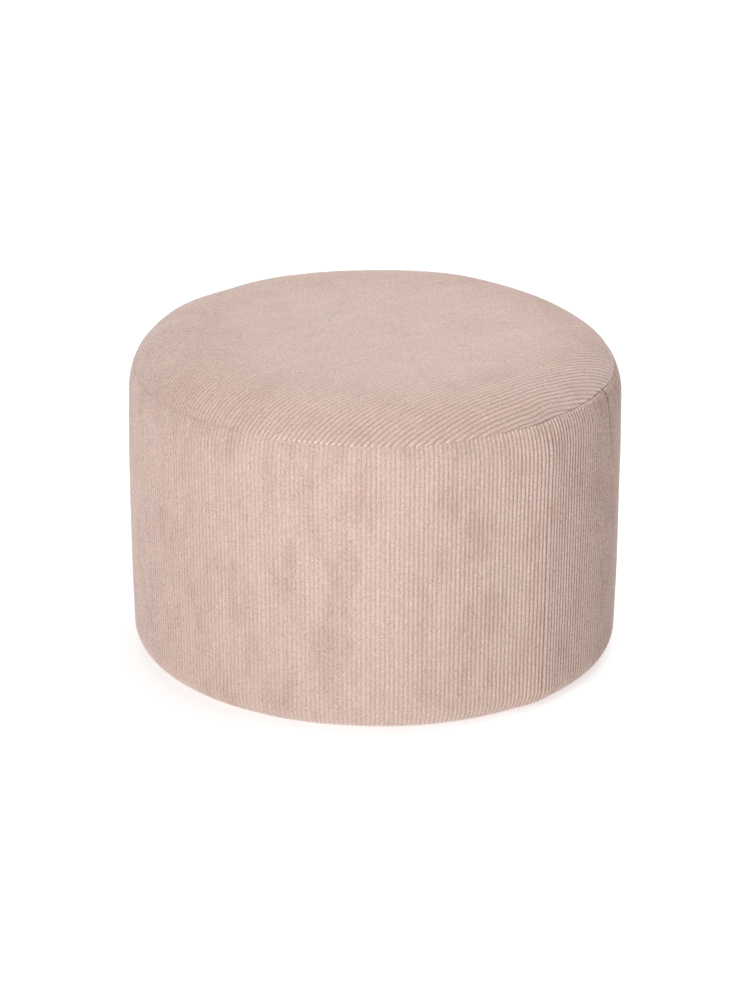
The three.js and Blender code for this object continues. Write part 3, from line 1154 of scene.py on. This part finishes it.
def make_backdrop(stage):
    """A pale dome round the floor, which shows behind the pouf but neither lights nor shades it."""
    bm = bmesh.new()
    rings = STAGE_SEGMENTS // 2
    bmesh.ops.create_uvsphere(bm, u_segments=STAGE_SEGMENTS, v_segments=rings, radius=stage.reach)
    below = [vert for vert in bm.verts if vert.co.z < -MM]
    bmesh.ops.delete(bm, geom=below, context="VERTS")
    bmesh.ops.reverse_faces(bm, faces=bm.faces)
    mesh = new_mesh("backdrop", bm)
    material, _, shader = new_material("backdrop_paint")
    set_values(shader, {"Base Color": BLACK, "Specular IOR Level": 0})
    set_values(shader, {"Emission Color": WHITE, "Emission Strength": stage.far_glow})
    backdrop = add_stage("backdrop", mesh, material)
    for ray in ("diffuse", "glossy", "transmission", "shadow"):
        setattr(backdrop, f"visible_{ray}", False)


def add_softbox(row, watts):
    """A square light that faces the pouf."""
    light = bpy.data.lights.new(row["name"], "AREA")
    light.energy = watts
    light.shape = "SQUARE"
    light.size = row["size"]
    lamp = new_object(row["name"], light)
    side = math.radians(row["azimuth"])
    up = math.radians(row["elevation"])
    away = Vector((math.sin(side) * math.cos(up), -math.cos(side) * math.cos(up), math.sin(up)))
    lamp.location = Vector((0, 0, LIGHTS_AIM)) + away * row["distance"]
    lamp.rotation_euler = away.to_track_quat("Z", "Y").to_euler()
    lamp.visible_camera = False


def make_lights(stage):
    """A faint even sky and the softboxes."""
    world = bpy.data.worlds.new("surroundings")
    world.use_nodes = True
    set_values(world.node_tree.nodes["Background"], {"Color": WHITE, "Strength": stage.sky})
    bpy.context.scene.world = world
    for row in SOFTBOXES:
        add_softbox(row, getattr(stage, row["name"]))


def make_camera(stage):
    """The camera at the photograph's angle, looking at the middle of the pouf."""
    camera = bpy.data.cameras.new("camera")
    camera.lens = stage.lens
    camera.sensor_width = SENSOR_WIDTH
    camera.clip_end = CLIP_END
    holder = new_object("camera", camera)
    up = stage.camera_elevation
    back = Vector((0, -math.cos(up), math.sin(up)))
    aim = Vector((stage.aim_x, 0, stage.aim_height))
    turn = back.to_track_quat("Z", "Y").to_matrix() @ Matrix.Rotation(stage.camera_roll, 3, "Z")
    holder.matrix_world = Matrix.Translation(aim + back * stage.camera_distance) @ turn.to_4x4()
    bpy.context.scene.camera = holder
    bpy.context.scene.view_settings.view_transform = "Standard"


# Operators


class PoufOperator:
    """What the operators share."""

    bl_options = {"REGISTER", "UNDO"}


class POUF_OT_stage(PoufOperator, bpy.types.Operator):
    """Makes the floor, the backdrop, the lights and the camera"""

    bl_idname = "pouf.stage"
    bl_label = "Floor, Lights and Camera"

    def execute(self, context):
        stage = context.scene.pouf_stage
        make_floor(stage)
        make_backdrop(stage)
        make_lights(stage)
        make_camera(stage)
        return {"FINISHED"}


class POUF_OT_top_panel(PoufOperator, bpy.types.Operator):
    """Makes the corduroy top panel over the crown"""

    bl_idname = "pouf.top_panel"
    bl_label = "Top Panel"

    def execute(self, context):
        scene = context.scene
        material = corduroy_material("top_panel_pile", scene.pouf_finish, TOP_FINISH)
        make_top_panel(scene.pouf_form, scene.pouf_cloth, material)
        return {"FINISHED"}


class POUF_OT_side_band(PoufOperator, bpy.types.Operator):
    """Makes the corduroy band round the wall"""

    bl_idname = "pouf.side_band"
    bl_label = "Side Band"

    def execute(self, context):
        scene = context.scene
        material = corduroy_material("side_band_pile", scene.pouf_finish, BAND_FINISH)
        make_side_band(scene.pouf_form, scene.pouf_cloth, material)
        return {"FINISHED"}


class POUF_OT_base_panel(PoufOperator, bpy.types.Operator):
    """Makes the woven base panel under the pouf"""

    bl_idname = "pouf.base_panel"
    bl_label = "Base Panel"

    def execute(self, context):
        make_base_panel(base_material(context.scene.pouf_finish))
        return {"FINISHED"}


OPERATORS = (POUF_OT_stage, POUF_OT_top_panel, POUF_OT_side_band, POUF_OT_base_panel)
SETTINGS = {
    "pouf_form": FormSettings,
    "pouf_cloth": ClothSettings,
    "pouf_finish": FinishSettings,
    "pouf_stage": StageSettings,
}


class POUF_PT_sidebar(bpy.types.Panel):
    """The pouf's steps and sizes"""

    bl_label = "Corduroy Pouf"
    bl_idname = "POUF_PT_sidebar"
    bl_space_type = "VIEW_3D"
    bl_region_type = "UI"
    bl_category = "Pouf"

    def draw(self, context):
        for operator in OPERATORS:
            self.layout.operator(operator.bl_idname)
        for name in SETTINGS:
            settings = getattr(context.scene, name)
            box = self.layout.box()
            for key in settings.__annotations__:
                box.prop(settings, key)


def register():
    """Registers the classes and puts the settings on the scene."""
    for settings in SETTINGS.values():
        bpy.utils.register_class(settings)
    for operator in OPERATORS:
        bpy.utils.register_class(operator)
    bpy.utils.register_class(POUF_PT_sidebar)
    for name, settings in SETTINGS.items():
        setattr(bpy.types.Scene, name, bpy.props.PointerProperty(type=settings))


def unregister():
    """Takes the settings off the scene and the classes out again."""
    for name in SETTINGS:
        delattr(bpy.types.Scene, name)
    bpy.utils.unregister_class(POUF_PT_sidebar)
    for operator in OPERATORS:
        bpy.utils.unregister_class(operator)
    for settings in SETTINGS.values():
        bpy.utils.unregister_class(settings)


def main():
    """Registers the add-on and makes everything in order."""
    register()
    bpy.ops.pouf.stage()
    bpy.ops.pouf.top_panel()
    bpy.ops.pouf.side_band()
    bpy.ops.pouf.base_panel()


if __name__ == "__main__":
    main()
